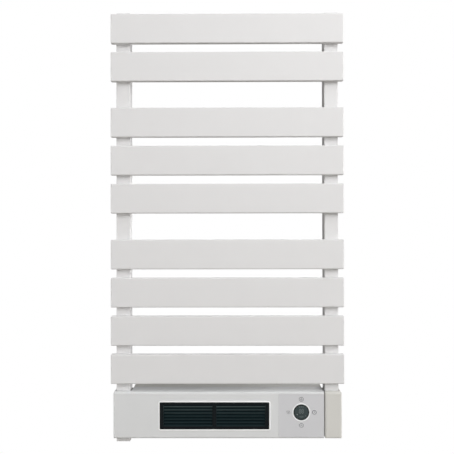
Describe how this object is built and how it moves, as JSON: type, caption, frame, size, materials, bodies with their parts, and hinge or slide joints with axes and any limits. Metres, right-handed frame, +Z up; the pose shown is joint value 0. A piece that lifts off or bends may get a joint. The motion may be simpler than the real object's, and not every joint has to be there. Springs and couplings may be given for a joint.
{
  "type": "electric bathroom radiator",
  "caption": "White electric towel radiator with flat steel slats on two posts, over a fan heater box with a black louvred outlet, a round display and four keys.",
  "frame": {"origin": "centre of the rectangle of four wall screws, on the wall's surface", "axes": "+X to the right as seen from the front, +Y back into the wall, +Z up; the front faces -Y"},
  "size_m": [0.55, 0.1105, 1.02],
  "materials": {
    "white_steel": "smooth white powder coat, satin",
    "bare_steel": "plain zinc-plated or bare steel",
    "white_plastic": "white moulding with a fine, even matt surface",
    "panel_grey": "slightly cooler light grey panel, smooth",
    "grille_black": "black moulding, matt",
    "ring_white": "white ring, smooth and slightly glossy",
    "dark_screen": "dark greenish grey window, glossy",
    "display_grey": "dark grey",
    "key_grey": "light grey key, smooth",
    "board_green": "green circuit board",
    "black_plastic": "black moulding, matt",
    "rotor_grey": "grey moulding, matt",
    "motor_grey": "grey painted can",
    "black_rubber": "matt",
    "bronze": "sintered, dull",
    "bare_aluminium": "plain",
    "relay_blue": "smooth",
    "terminal_green": "smooth",
    "gland_grey": "matt"
  },
  "bodies": {
    "radiator": {"left_post": "white_steel", "right_post": "white_steel", "post_top_caps": "white_steel", "left_post_foot_cap": "white_steel", "slat_1": "white_steel", "slat_2": "white_steel", "slat_3": "white_steel", "slat_4": "white_steel", "slat_5": "white_steel", "slat_6": "white_steel", "slat_7": "white_steel", "slat_8": "white_steel", "slat_9": "white_steel", "slat_end_caps_left": "white_steel", "slat_end_caps_right": "white_steel", "slat_nipples": "bare_steel", "post_lugs": "white_steel", "bracket_stems": "white_steel", "bracket_sockets": "white_steel", "bracket_grub_screws": "bare_steel", "weld_studs": "bare_steel", "stud_nuts": "bare_steel", "front_shell": "white_plastic", "rear_shell": "white_plastic", "right_cover": "white_plastic", "outlet_grille": "grille_black", "grille_screws": "bare_steel", "case_screws": "bare_steel", "cover_screws": "bare_steel", "control_panel": "panel_grey", "display_ring": "ring_white", "display_lens": "dark_screen", "display_module": "display_grey", "display_board": "board_green", "key_switches": "black_plastic", "fan_housing": "black_plastic", "fan_motor": "motor_grey", "motor_bracket": "bare_steel", "bush_seat": "black_rubber", "shaft_bush": "bronze", "ptc_frame": "black_plastic", "ptc_bars": "bare_aluminium", "ptc_fins": "bare_aluminium", "thermal_cutout": "black_plastic", "power_board": "board_green", "board_relays": "relay_blue", "terminal_block": "terminal_green", "cable_gland": "gland_grey", "heater_boss": "bare_steel", "immersion_heater": "bare_steel"},
    "fan": {"fan_rotor": "rotor_grey", "fan_shaft": "bare_steel"},
    "power_key": {"key_power": "key_grey"},
    "timer_key": {"key_timer": "key_grey"},
    "heat_key": {"key_heat": "key_grey"},
    "boost_key": {"key_boost": "key_grey"}
  },
  "joints": [
    {"name": "fan_spin", "type": "hinge", "parent": "radiator", "child": "fan", "pos_m": [-0.0307, -0.0428, -0.46235], "axis": [1, 0, 0], "continuous": true},
    {"name": "power_key_press", "type": "slide", "parent": "radiator", "child": "power_key", "axis": [0, 1, 0], "range_m": [0, 0.0008], "stiffness_N_per_m": 1500, "springref_m": -0.0003},
    {"name": "timer_key_press", "type": "slide", "parent": "radiator", "child": "timer_key", "axis": [0, 1, 0], "range_m": [0, 0.0008], "stiffness_N_per_m": 1500, "springref_m": -0.0003},
    {"name": "heat_key_press", "type": "slide", "parent": "radiator", "child": "heat_key", "axis": [0, 1, 0], "range_m": [0, 0.0008], "stiffness_N_per_m": 1500, "springref_m": -0.0003},
    {"name": "boost_key_press", "type": "slide", "parent": "radiator", "child": "boost_key", "axis": [0, 1, 0], "range_m": [0, 0.0008], "stiffness_N_per_m": 1500, "springref_m": -0.0003}
  ]
}
